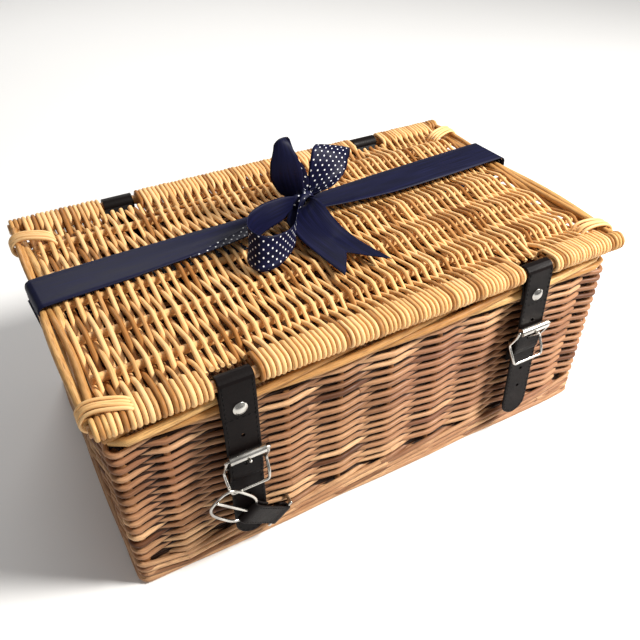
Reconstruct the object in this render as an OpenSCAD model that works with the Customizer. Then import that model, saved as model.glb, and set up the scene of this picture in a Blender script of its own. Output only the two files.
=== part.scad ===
// Wicker picnic basket: woven body, hinged lid, two buckled straps, one loose strap and a tied ribbon.
// Millimetres, +Z up, +X along the length, front towards -Y, floor at z = 0.

/* [Basket body] */
// Outside length of the woven body
body_l = 418; // [300:1:600]
// Outside depth of the woven body
body_w = 250; // [180:1:400]
// Height of the top border above the floor
border_top = 157; // [110:1:300]
// Height of the top border itself
border_h = 15; // [8:0.5:30]
// Thickness of the woven wall
wall_t = 12; // [8:0.5:18]
// Height of the thick foot weave
wale_h = 24; // [12:1:40]
// Diameter of a wall stake
stake_d = 5; // [3:0.5:7]
// Diameter of a corner post
post_d = 8; // [5:0.5:10]
// Stakes along one long side
stakes_long = 9; // [5:1:15]
// Stakes along one short side
stakes_short = 5; // [3:1:9]

/* [Lid] */
// Lid overhang at each end of the body
lid_over_l = 6; // [0:0.5:15]
// Lid overhang at the front and the back
lid_over_w = 7; // [5:0.5:12]
// Diameter of a lid stick
stick_d = 8; // [5:0.5:12]
// Diameter of a weaving rod
rod_d = 4; // [2.5:0.5:6]
// Number of lid sticks, the two edge sticks included
lid_sticks_n = 7; // [5:1:11]
// Gap between the border and the lid
lid_gap = 3; // [2:0.5:8]

/* [Straps and buckles] */
// Strap width
strap_w = 25; // [16:1:32]
// Leather thickness
strap_t = 2.4; // [1.6:0.2:3.2]
// Straps sit this far left and right of the middle
strap_x = 124; // [60:1:200]
// Length of the left strap, from the stick axis to the tip
strap_len_left = 144; // [100:1:160]
// Length of the right strap, from the stick axis to the tip
strap_len_right = 144; // [100:1:160]
// Left buckle centre bar below the stick axis
drop_left = 74; // [55:1:100]
// Right buckle centre bar below the stick axis
drop_right = 65; // [55:1:100]
// Outward lean of a hanging strap
lean = 3; // [2:0.5:8]
// Buckle wire diameter
wire_d = 2.6; // [2:0.1:3.5]
// Roller diameter
roller_d = 6.4; // [5:0.2:9]
// Buckle height from the roller to the lower bar
buckle_h = 32; // [24:1:44]

/* [Ribbon] */
// Ribbon width
ribbon_w = 34; // [20:1:50]
// Ribbon thickness
ribbon_t = 0.8; // [0.5:0.1:2]
// Ribbon crosses the lid this far behind its middle
ribbon_y = 26; // [-60:1:60]
// Slant of the ribbon across the lid
ribbon_skew = 3.6; // [0:0.1:6]
// Height of the bow above the lid
bow_h = 64; // [40:1:90]

/* [Hidden] */
$fa = 4;
$fs = 0.35;
gap = 0.3;
lid_l = body_l + 2 * lid_over_l;
lid_w = body_w + 2 * lid_over_w;
lid_t = stick_d + 2 * rod_d;
lid_z = border_top + lid_gap;             // underside of the lid
lid_top = lid_z + lid_t;
axis_z = lid_z + lid_t / 2;               // lid sticks, hinge axis
stick_y = lid_w / 2 - lid_t / 2;          // edge sticks
stick_gap = 2 * stick_y / (lid_sticks_n - 1);
wall_x = body_l / 2 - wall_t / 2;         // middle of the wall
wall_y = body_w / 2 - wall_t / 2;
wall_z = border_top - border_h;           // border underside
end_rod_d = 6;
lid_weave_l = lid_l - 4 * end_rod_d - 4 * gap;
notch_w = strap_w + 5;
notch_in = lid_t + 4;
base_z = 0;
base_t = 10;
cord_r = stick_d / 2 + 0.2;               // inside radius of a leather loop on a stick
loop_r = cord_r + strap_t;
bar_r = wire_d / 2;
chape_t = 1.7;
bar_off = cord_r - gap - chape_t - 0.15 - bar_r;   // centre bar behind the strap
roll_off = loop_r + gap + roller_d / 2;
keep_off = loop_r + gap + bar_r;
side_x = strap_w / 2 + 1.4 + bar_r;
prong_d = 2.2;
prong_dy = roll_off - bar_off;
prong_dz = buckle_h / 2;
prong_reach = sqrt(prong_dy * prong_dy + prong_dz * prong_dz);
prong_tan = roller_d / 2 + prong_d / 2 + gap;
prong_a = atan2(prong_dy, prong_dz) + asin(prong_tan / prong_reach);
prong_l = sqrt(prong_reach * prong_reach - prong_tan * prong_tan) + 2.5;
slot_up = (cord_r + strap_t / 2 - bar_off) / tan(prong_a);
band_in = 0.4;
loose_x = -strap_x + 24;
loose_z = wale_h - 2;
loose_a = 130;
loose_w = 20;
loose_t = 1.8;
loose_pin_y = body_w / 2 + 2 + gap + 0.5 + loose_t + 1.3;
loose_len = 41;
loose_front = strap_tail_y(border_top - wale_h) + 1.3;
stake_xs = [for (i = [0:stakes_long - 1])
    (i - (stakes_long - 1) / 2) * (body_l - 74) / (stakes_long - 1)];
stake_ys = [for (i = [0:stakes_short - 1])
    (i - (stakes_short - 1) / 2) * (body_w - 82) / (stakes_short - 1)];
willow = [0.80, 0.62, 0.37];
willow_b = [0.72, 0.53, 0.31];
willow_c = [0.86, 0.70, 0.45];
leather = [0.13, 0.10, 0.10];
steel = [0.72, 0.71, 0.68];
navy = [0.10, 0.11, 0.25];

// distance of the strap's front face from the middle plane, this far below the stick axis
function strap_tail_y(s) = stick_y + loop_r * cos(lean) + s * sin(lean);

// round rod between two points
module rod(a, b, d) {
    v = b - a;
    len = norm(v);
    translate(a) rotate([0, acos(v[2] / len), atan2(v[1], v[0])]) cylinder(h = len, d = d);
}

// box with round upright corners
module round_box(l, w, h, r) {
    translate([-l / 2 + r, -w / 2, 0]) cube([l - 2 * r, w, h]);
    translate([-l / 2, -w / 2 + r, 0]) cube([l, w - 2 * r, h]);
    for (x = [-1, 1], y = [-1, 1])
        translate([x * (l / 2 - r), y * (w / 2 - r), 0]) cylinder(h = h, r = r);
}

// round_box with a round_box hole
module ring(l, w, h, t, r) {
    difference() {
        round_box(l, w, h, r);
        translate([0, 0, -1]) round_box(l - 2 * t, w - 2 * t, h + 2, max(r - t, 3));
    }
}

// every wall stake and corner post as an upright rod
module uprights(z0, z1, ds, dp) {
    for (x = stake_xs, s = [-1, 1]) translate([x, s * wall_y, z0]) cylinder(h = z1 - z0, d = ds);
    for (y = stake_ys, s = [-1, 1]) translate([s * wall_x, y, z0]) cylinder(h = z1 - z0, d = ds);
    corners(z0, z1, dp);
}

module corners(z0, z1, d) {
    for (x = [-1, 1], y = [-1, 1])
        translate([x * (wall_x - 2), y * (wall_y - 2), z0]) cylinder(h = z1 - z0, d = d);
}

// ---- body ----
module base_weave() color(willow_b) difference() {
    translate([0, 0, base_z])
        round_box(body_l - 2 * wall_t - 2 * gap, body_w - 2 * wall_t - 2 * gap, base_t, 6);
    base_rods(body_l, stake_d + 2.3);
}

module base_rods(l, d) for (i = [-2:2])
    translate([-l / 2, i * body_w / 6.4, base_z + base_t / 2]) rotate([0, 90, 0]) cylinder(h = l, d = d);

module base_sticks() color(willow_c) base_rods(body_l - 2 * wall_t - 4, stake_d + 2);

module foot_wale() color(willow_b) difference() {
    ring(body_l + 4, body_w + 4, wale_h, wall_t + 2, 12);
    uprights(2 - gap, wale_h + 1, stake_d + 0.3, post_d + 0.3);
    anchor_legs(wire_d + 0.4);
}

module wall_weave() color(willow) difference() {
    translate([0, 0, wale_h + gap]) ring(body_l, body_w, wall_z - wale_h - 2 * gap, wall_t, 10);
    uprights(wale_h - 1, wall_z - 5 + gap, stake_d + 0.3, post_d + 0.3);
    for (s = [-1, 1]) {
        translate([s * strap_x - strap_w / 2 - gap, wall_y - wall_t, wall_z - strap_t - 1.2])
            cube([strap_w + 2 * gap, 2 * wall_t, 9]);
        chape_cut(s, s < 0 ? drop_left : drop_right);
    }
    anchor_legs(wire_d + 0.4);
}

module wall_stakes() color(willow_c) difference() {
    uprights(2, wall_z - 5, stake_d, 0.1);
    corners(1, wall_z, 1);
}

module corner_posts() color(willow_b) corners(2, wall_z - 5, post_d);

module rim_border() color(willow_c)
    translate([0, 0, wall_z]) ring(body_l, body_w, border_h, wall_t, 11);

// ---- hinge loops: leather round the back stick and the border ----
module hinge_loop(s) color(leather) {
    yb = stick_y + cord_r;                       // back leg, inside face
    yf = body_w / 2 - wall_t - gap;              // inner leg, face next to the border
    zb = wall_z - gap - 0.2;
    translate([s * strap_x - strap_w / 2, 0, 0]) rotate([90, 0, 90])
        difference() {
            union() {
                translate([stick_y, axis_z, 0]) cylinder(h = strap_w, r = loop_r);
                linear_extrude(height = strap_w) polygon([
                    [yb + strap_t, axis_z], [yb + strap_t, zb - strap_t], [yf - strap_t, zb - strap_t],
                    [yf - strap_t, border_top + 1.2], [stick_y - loop_r, axis_z + 0.4]]);
            }
            translate([stick_y, axis_z, -1]) cylinder(h = strap_w + 2, r = cord_r);
            translate([0, 0, -1]) linear_extrude(height = strap_w + 2) polygon([
                [yb, axis_z], [yb, zb], [yf, zb], [yf, border_top + 0.4], [stick_y - cord_r, axis_z]]);
            rivet_hole(s);
        }
}

module rivet_hole(s) translate([stick_y + cord_r - 1, border_top + 2, strap_w / 2])
    rotate([0, 90, 0]) cylinder(h = strap_t + 2, d = 3.4);

module hinge_strap_left() hinge_loop(-1);

module hinge_strap_right() hinge_loop(1);

module hinge_rivets() color(steel) for (s = [-1, 1])
    translate([s * strap_x, stick_y + cord_r - 0.8, border_top + 2]) rotate([-90, 0, 0]) {
        cylinder(h = strap_t + 1.6, d = 3.2);
        translate([0, 0, strap_t + 0.8 + gap]) cylinder(h = 1.4, d = 8);
        translate([0, 0, -0.9]) cylinder(h = 0.9 - gap + 0.5, d = 6);
    }

// ---- lid ----
module lid_frame_box(x0, x1, y0, y1) translate([x0, y0, lid_z]) cube([x1 - x0, y1 - y0, lid_t]);

module lid_weave() color(willow) difference() {
    union() {
        lid_frame_box(-lid_weave_l / 2, lid_weave_l / 2, -stick_y, stick_y);
        for (s = [-1, 1]) translate([-lid_weave_l / 2, s * stick_y, axis_z])
            rotate([0, 90, 0]) cylinder(h = lid_weave_l, d = lid_t);
    }
    stick_rods(lid_l, stick_d + 0.3, 0);
    for (s = [-1, 1], f = [-1, 1]) {
        translate([s * strap_x - notch_w / 2, f > 0 ? lid_w / 2 - notch_in - 4 : -lid_w / 2 - 1, lid_z - 1])
            cube([notch_w, notch_in + 5, lid_t + 2]);
        translate([s * bind_x - 1.2, f * bind_y - bind_w / 2 - gap, lid_z - 1])
            cube([2.4, bind_w + 2 * gap, lid_t + 2]);
    }
}

bind_w = 12;
bind_t = 1.5;
bind_y = stick_y - 22;
bind_x = lid_l / 2 - 32;

module stick_rods(l, d, skip) for (i = [skip:lid_sticks_n - 1 - skip])
    translate([-l / 2, -stick_y + i * stick_gap, axis_z]) rotate([0, 90, 0]) cylinder(h = l, d = d);

module lid_sticks() color(willow_c) stick_rods(lid_weave_l - 2, stick_d, 1);

module edge_stick(s) color(willow_c) translate([-lid_l / 2 + 1, s * stick_y, axis_z])
    rotate([0, 90, 0]) cylinder(h = lid_l - 2, d = stick_d);

module lid_front_stick() edge_stick(-1);

module lid_back_stick() edge_stick(1);

module end_rods(s) color(willow_b) for (k = [0, 1])
    rod([s * (lid_l / 2 - (k + 0.5) * (end_rod_d + gap)), -stick_y + stick_d / 2 + 0.5, axis_z],
        [s * (lid_l / 2 - (k + 0.5) * (end_rod_d + gap)), stick_y - stick_d / 2 - 0.5, axis_z], end_rod_d);

module lid_end_rods_left() end_rods(-1);

module lid_end_rods_right() end_rods(1);

module binding(sx, sy) color(willow_c) {
    x0 = bind_x - bind_t / 2;
    x1 = lid_l / 2 + gap + bind_t;
    translate([sx > 0 ? x0 : -x1, sy * bind_y - bind_w / 2, lid_z - bind_t - 0.1]) difference() {
        cube([x1 - x0, bind_w, lid_t + 2 * bind_t + 0.2]);
        translate([bind_t, -1, bind_t]) cube([x1 - x0 - 2 * bind_t, bind_w + 2, lid_t + 0.2]);
    }
}

module binding_front_left() binding(-1, -1);

module binding_front_right() binding(1, -1);

module binding_back_left() binding(-1, 1);

module binding_back_right() binding(1, 1);

// ---- front straps ----
// frame hung from the front stick: u runs down the strap, v is outwards
module hang(s) translate([s * strap_x, -stick_y, axis_z]) rotate([-lean, 0, 0]) children();

module lid_strap(s, len, drop) color(leather) hang(s) difference() {
    union() {
        rotate([0, 90, 0]) translate([0, 0, -strap_w / 2]) cylinder(h = strap_w, r = loop_r);
        translate([-strap_w / 2, -loop_r, -len + strap_w / 2])
            cube([strap_w, strap_t, len - strap_w / 2]);
        translate([0, -cord_r, -len + strap_w / 2]) rotate([90, 0, 0]) cylinder(h = strap_t, d = strap_w);
        // the end of the strap, folded back and riveted flat
        translate([-strap_w / 2, 0, 0]) rotate([90, 0, 90]) linear_extrude(height = strap_w) polygon([
            [loop_r - 0.1, -1], [-cord_r + strap_t - 0.3, -10.2], [-cord_r + strap_t - 0.3, -26],
            [-cord_r - 0.2, -26], [-cord_r - 0.2, -7], [cord_r - 1, -1]]);
    }
    rotate([0, 90, 0]) translate([0, 0, -strap_w]) cylinder(h = 2 * strap_w, r = cord_r);
    translate([0, 0, -rivet_drop]) rotate([90, 0, 0]) translate([0, 0, -2]) cylinder(h = 12, d = 4.3);
    translate([0, 0, -43]) rotate([90, 0, 0]) translate([0, 0, -2]) cylinder(h = 12, d = 3);
    translate([-prong_d / 2 - 0.5, -loop_r - 1, -drop + slot_up - 3.6])
        cube([prong_d + 1, strap_t + 2, 7.2]);
}

rivet_drop = 19;

module lid_strap_left() lid_strap(-1, strap_len_left, drop_left);

module lid_strap_right() lid_strap(1, strap_len_right, drop_right);

module strap_rivet(s) color(steel) hang(s) translate([0, -cord_r + strap_t - 0.3 + gap, -rivet_drop])
    rotate([90, 0, 0]) {
        thick = 2 * strap_t - 0.3 + 2 * gap;
        cylinder(h = thick, d = 4);
        translate([0, 0, -0.6]) cylinder(h = 0.6, d = 8);
        translate([0, 0, thick]) intersection() {
            translate([0, 0, -4.5]) sphere(r = 7);
            cylinder(h = 4, d = 10.4);
        }
    }

module strap_rivet_left() strap_rivet(-1);

module strap_rivet_right() strap_rivet(1);

// ---- centre-bar roller buckles ----
module at_bar(s, drop) hang(s) translate([0, -bar_off, -drop]) children();

module buckle_frame(s, drop) color(steel) at_bar(s, drop) {
    top = [0, -(roll_off - bar_off), buckle_h / 2];
    low = [0, -(keep_off - bar_off), -buckle_h / 2];
    for (p = [top, [0, 0, 0], low])
        rod(p + [-side_x, 0, 0], p + [side_x, 0, 0], wire_d);
    for (x = [-side_x, side_x], p = [top, low]) {
        rod([x, 0, 0], p + [x, 0, 0], wire_d);
        translate(p + [x, 0, 0]) sphere(d = wire_d);
    }
    for (x = [-side_x, side_x]) translate([x, 0, 0]) sphere(d = wire_d);
}

module buckle_frame_left() buckle_frame(-1, drop_left);

module buckle_frame_right() buckle_frame(1, drop_right);

module buckle_roller(s, drop) color(steel) at_bar(s, drop)
    translate([-strap_w / 2 - 0.6, -(roll_off - bar_off), buckle_h / 2]) rotate([0, 90, 0]) difference() {
        cylinder(h = strap_w + 1.2, d = roller_d);
        translate([0, 0, -1]) cylinder(h = strap_w + 4, d = wire_d + 0.2);
    }

module buckle_roller_left() buckle_roller(-1, drop_left);

module buckle_roller_right() buckle_roller(1, drop_right);

module prong(len, ang) {
    difference() {
        union() {
            rotate([0, 90, 0]) translate([0, 0, -1.5]) cylinder(h = 3, r = bar_r + 1.4);
            rotate([ang, 0, 0]) cylinder(h = len, d = prong_d);
            rotate([ang, 0, 0]) translate([0, 0, len]) sphere(d = prong_d);
        }
        rotate([0, 90, 0]) translate([0, 0, -3]) cylinder(h = 6, r = bar_r + 0.1);
    }
}

module buckle_prong_left() color(steel) at_bar(-1, drop_left) prong(prong_l, prong_a);

module buckle_prong_right() color(steel) at_bar(1, drop_right) prong(prong_l, prong_a);

// chape: leather loop on the centre bar, down the wall and through it
function bar_y(drop) = stick_y + bar_off * cos(lean) + drop * sin(lean);
function bar_z(drop) = axis_z - drop * cos(lean) + bar_off * sin(lean);
chape_w = strap_w - 2;
chape_drop = 21;
chape_r = bar_r + 0.15 + chape_t;

module chape_cut(s, drop) translate([s * strap_x - chape_w / 2 - gap, -body_w / 2 - 5, bar_z(drop) - chape_drop - gap])
    cube([chape_w + 2 * gap, wall_t + 10, chape_t + 2 * gap]);

module chape(s, drop) color(leather) difference() {
    chape_leather(s, drop);
    uprights(-1, border_top, stake_d + 2 * gap, 1);
}

module chape_leather(s, drop) translate([s * strap_x - chape_w / 2, 0, bar_z(drop)]) {
    yb = -bar_y(drop);
    difference() {
        union() {
            translate([0, yb, 0]) rotate([0, 90, 0]) cylinder(h = chape_w, r = chape_r);
            translate([0, yb + chape_r - chape_t, -chape_drop]) cube([chape_w, chape_t, chape_drop]);
            translate([0, yb + chape_r - chape_t, -chape_drop])
                cube([chape_w, bar_y(drop) - body_w / 2 + wall_t + 2 - chape_r + chape_t, chape_t]);
            translate([0, -body_w / 2 + wall_t + gap, -chape_drop - 16]) cube([chape_w, chape_t, 16 + chape_t]);
        }
        translate([-1, yb, 0]) rotate([0, 90, 0]) cylinder(h = chape_w + 2, r = bar_r + 0.15);
        translate([chape_w / 2 - 2, yb - 6, -4.5]) cube([4, 12, 9]);
        translate([chape_w / 2, yb, -10.5]) rotate([90, 0, 0]) translate([0, 0, -8]) cylinder(h = 12, d = 3.4);
    }
}

module buckle_chape_left() chape(-1, drop_left);

module buckle_chape_right() chape(1, drop_right);

module chape_rivets() color(steel) for (s = [-1, 1]) {
    drop = s < 0 ? drop_left : drop_right;
    translate([s * strap_x, -bar_y(drop) + chape_r - chape_t - gap, bar_z(drop) - 10.5]) rotate([90, 0, 0]) {
        cylinder(h = 0.9, d = 7);
        translate([0, 0, -chape_t]) cylinder(h = chape_t + 0.5, d = 3.2);
    }
}

// ---- loose strap by the left buckle ----
// frame on the anchor wire: x is along the wire, z runs up the strap, y outwards is negative
module on_anchor() translate([loose_x, -loose_pin_y, loose_z]) rotate([0, 90 - loose_a, 0]) children();

module anchor_legs(d) on_anchor() for (x = [-1, 1])
    rod([x * (loose_w / 2 + 2.2), 0, 0], [x * (loose_w / 2 + 2.2), loose_pin_y - body_w / 2 + 8, 0], d);

module loose_anchor() color(steel) {
    on_anchor() rod([-loose_w / 2 - 2.2, 0, 0], [loose_w / 2 + 2.2, 0, 0], wire_d);
    anchor_legs(wire_d);
    on_anchor() for (x = [-1, 1]) translate([x * (loose_w / 2 + 2.2), 0, 0]) sphere(d = wire_d);
}

loose_r = bar_r + 0.15 + loose_t;
loose_step = loose_front - loose_pin_y;      // plane of the strap in front of the tail
loose_bar = [0, -loose_step - 1.6, loose_len + 2];

module loose_strap() color(leather) on_anchor() difference() {
    union() {
        translate([-loose_w / 2, 0, 0]) rotate([0, 90, 0]) cylinder(h = loose_w, r = loose_r);
        translate([-loose_w / 2, 0, 0]) rotate([90, 0, 90]) linear_extrude(height = loose_w) polygon([
            [-loose_r + loose_t, 0], [-loose_step + 0.2, 12.5], [-loose_step + 0.2, loose_len],
            [-loose_step - loose_t + 0.2, loose_len], [-loose_step - loose_t + 0.2, 12], [-loose_r, 0]]);
        translate([-loose_w / 2, loose_bar[1], loose_bar[2]]) rotate([0, 90, 0])
            cylinder(h = loose_w, r = loose_r);
    }
    rotate([0, 90, 0]) translate([0, 0, -loose_w]) cylinder(h = 2 * loose_w, r = bar_r + 0.15);
    translate(loose_bar) rotate([0, 90, 0]) translate([0, 0, -loose_w])
        cylinder(h = 2 * loose_w, r = bar_r + 0.15);
    translate(loose_bar + [-2, -6, -4.5]) cube([4, 12, 12]);
}

module loose_buckle_frame() color(steel) on_anchor() translate(loose_bar) {
    w = loose_w / 2 + 2.4;
    far = 34;
    pts = [[-w, 0, 0], [-w, 0, far], [w, 0, far], [w, 0, 0]];
    for (i = [0:3]) {
        rod(pts[i], pts[(i + 1) % 4], wire_d);
        translate(pts[i]) sphere(d = wire_d);
    }
}

module loose_buckle_prong() color(steel) on_anchor() translate(loose_bar)
    prong(35.5, atan2(bar_r + prong_d / 2 + gap, 34));

// ---- ribbon and bow ----
module on_lid() translate([0, ribbon_y, lid_top]) rotate([0, 0, ribbon_skew]) children();

module ribbon_band() color(navy) on_lid() {
    l = lid_l / cos(ribbon_skew) + 2 * band_in + 2;
    h = lid_t + 2 * band_in;
    translate([-l / 2 - ribbon_t, -ribbon_w / 2, -lid_t - band_in - ribbon_t]) difference() {
        cube([l + 2 * ribbon_t, ribbon_w, h + 2 * ribbon_t]);
        translate([ribbon_t, -1, ribbon_t]) cube([l, ribbon_w + 2, h]);
    }
}

knot_r = 10;
knot_z = band_in + ribbon_t + gap + knot_r;

// loop of ribbon: a ring with its two sides drawn in to the knot
module bow_loop(len, r, w) {
    mid = len - r;
    half = 0.88 * asin(r / mid);
    lift = ribbon_t / sin(half);
    rotate([-90, 0, 0]) translate([0, 0, -w / 2]) difference() {
        union() {
            translate([mid, 0, 0]) cylinder(h = w, r = r);
            linear_extrude(height = w) polygon([[0, 0], [mid, mid * tan(half)], [mid, -mid * tan(half)]]);
        }
        translate([mid, 0, -1]) cylinder(h = w + 2, r = r - ribbon_t);
        translate([0, 0, -1]) linear_extrude(height = w + 2) polygon([[lift, 0],
            [mid, (mid - lift) * tan(half)], [mid, (lift - mid) * tan(half)]]);
        translate([-0.01, -r, -1]) cube([knot_r + 1.5, 2 * r, w + 2]);
    }
}

module on_knot(turn, up) on_lid() translate([0, -3, knot_z]) rotate([0, 0, turn]) rotate([0, -up, 0]) children();

module bow_knot() color(navy) on_lid() translate([0, -3, knot_z]) difference() {
    sphere(r = knot_r);
    translate([-2, -2, -knot_r - 1]) cube([4, 4, 2]);
}

module bow_loop_left() color(navy) on_knot(165, 62) bow_loop(bow_h, 11, ribbon_w * 0.6);

module bow_loop_right() color(navy) on_knot(15, 32) bow_loop(bow_h * 0.8, 10, ribbon_w);

module bow_loop_low() color(navy) on_knot(215, 14) bow_loop(bow_h * 0.95, 9, ribbon_w * 0.8);

module bow_tail_front() color(navy) on_knot(-62, -4) difference() {
    translate([knot_r + 2, -ribbon_w * 0.4, -1]) cube([bow_h + 8, ribbon_w * 0.8, ribbon_t]);
    translate([knot_r + 2 + bow_h + 8, 0, -3]) rotate([0, 0, 45]) cube([16, 16, 6], center = true);
}

module bow_tail_back() color(navy) on_knot(101, 24) difference() {
    translate([knot_r + 2, -ribbon_w * 0.27, -0.5]) cube([bow_h * 0.35, ribbon_w * 0.54, ribbon_t]);
    translate([knot_r + 2 + bow_h * 0.35, 0, -3]) rotate([0, 0, 45]) cube([10, 10, 12], center = true);
}

base_weave();
base_sticks();
foot_wale();
wall_weave();
wall_stakes();
corner_posts();
rim_border();
hinge_strap_left();
hinge_strap_right();
hinge_rivets();
lid_weave();
lid_sticks();
lid_front_stick();
lid_back_stick();
lid_end_rods_left();
lid_end_rods_right();
binding_front_left();
binding_front_right();
binding_back_left();
binding_back_right();
lid_strap_left();
lid_strap_right();
strap_rivet_left();
strap_rivet_right();
buckle_frame_left();
buckle_frame_right();
buckle_roller_left();
buckle_roller_right();
buckle_prong_left();
buckle_prong_right();
buckle_chape_left();
buckle_chape_right();
chape_rivets();
loose_anchor();
loose_strap();
loose_buckle_frame();
loose_buckle_prong();
ribbon_band();
bow_knot();
bow_loop_left();
bow_loop_right();
bow_loop_low();
bow_tail_front();
bow_tail_back();
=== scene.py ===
import math
import random

import bmesh
import bpy
import numpy as np
from mathutils import Matrix, Vector


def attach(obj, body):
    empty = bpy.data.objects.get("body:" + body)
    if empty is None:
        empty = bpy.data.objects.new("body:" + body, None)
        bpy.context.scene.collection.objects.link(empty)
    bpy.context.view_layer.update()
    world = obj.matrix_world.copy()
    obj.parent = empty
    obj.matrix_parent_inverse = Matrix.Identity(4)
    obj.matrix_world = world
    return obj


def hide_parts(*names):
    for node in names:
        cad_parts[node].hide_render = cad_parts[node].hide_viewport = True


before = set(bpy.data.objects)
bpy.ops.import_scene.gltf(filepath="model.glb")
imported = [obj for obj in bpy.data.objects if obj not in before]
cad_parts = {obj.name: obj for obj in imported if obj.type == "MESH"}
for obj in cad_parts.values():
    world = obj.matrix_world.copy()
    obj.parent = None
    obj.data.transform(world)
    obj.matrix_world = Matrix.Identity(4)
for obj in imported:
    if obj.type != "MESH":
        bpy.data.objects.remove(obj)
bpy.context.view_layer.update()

MM = 0.001
scene = bpy.context.scene
scene.view_settings.view_transform = "Standard"


# ---------- camera ----------

def hang_camera():
    turn, dip, tilt = math.radians(-29.38), math.radians(39.16), math.radians(0.43)
    look = Vector((-math.sin(turn) * math.cos(dip), math.cos(turn) * math.cos(dip), -math.sin(dip)))
    side = Vector((math.cos(turn), math.sin(turn), 0))
    up = side.cross(look)
    right = side * math.cos(tilt) + up * math.sin(tilt)
    top = up * math.cos(tilt) - side * math.sin(tilt)
    cam = bpy.data.cameras.new("camera")
    cam.sensor_width, cam.lens = 36, 39.02
    cam.clip_start, cam.clip_end = 0.02, 80
    holder = bpy.data.objects.new("camera", cam)
    m = Matrix((right, top, -look)).transposed().to_4x4()
    m.translation = Vector((-0.2294, -0.4204, 0.4687))
    holder.matrix_world = m
    scene.collection.objects.link(holder)
    scene.camera = holder


hang_camera()


# ---------- node helpers ----------

def put(tree, kind, _ins=None, **props):
    """One node, with its properties and its unlinked inputs set."""
    node = tree.nodes.new(kind)
    for key, value in props.items():
        setattr(node, key, value)
    for key, value in (_ins or {}).items():
        node.inputs[key].default_value = value
    return node


def sockets(group, ins, outs):
    kinds = {"f": "NodeSocketFloat", "c": "NodeSocketColor", "v": "NodeSocketVector", "i": "NodeSocketInt",
             "g": "NodeSocketGeometry", "m": "NodeSocketMaterial"}
    for name, kind, value in ins:
        s = group.interface.new_socket(name=name, in_out="INPUT", socket_type=kinds[kind])
        if value is not None:
            s.default_value = value
    for name, kind in outs:
        group.interface.new_socket(name=name, in_out="OUTPUT", socket_type=kinds[kind])
    return put(group, "NodeGroupInput"), put(group, "NodeGroupOutput")


def calc(tree, op, a, b=None, c=None):
    node = put(tree, "ShaderNodeMath", operation=op)
    for i, x in enumerate((a, b, c)):
        if x is None:
            continue
        if isinstance(x, (int, float)):
            node.inputs[i].default_value = x
        else:
            tree.links.new(x, node.inputs[i])
    return node.outputs[0]


def mix(tree, share, a, b, blend="MIX"):
    node = put(tree, "ShaderNodeMix", data_type="RGBA", blend_type=blend)
    for i, x in ((0, share), (6, a), (7, b)):
        if isinstance(x, (int, float, tuple)):
            node.inputs[i].default_value = x
        else:
            tree.links.new(x, node.inputs[i])
    return node.outputs[2]


def reach(tree, value, low, high, to_low=0.0, to_high=1.0):
    node = put(tree, "ShaderNodeMapRange", {1: low, 2: high, 3: to_low, 4: to_high},
               interpolation_type="SMOOTHSTEP")
    tree.links.new(value, node.inputs[0])
    return node.outputs[0]


def srgb(r, g, b):
    f = lambda x: x / 255 / 12.92 if x / 255 <= 0.04045 else ((x / 255 + 0.055) / 1.055) ** 2.4
    return (f(r), f(g), f(b), 1.0)


# ---------- shared finishes ----------

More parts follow.
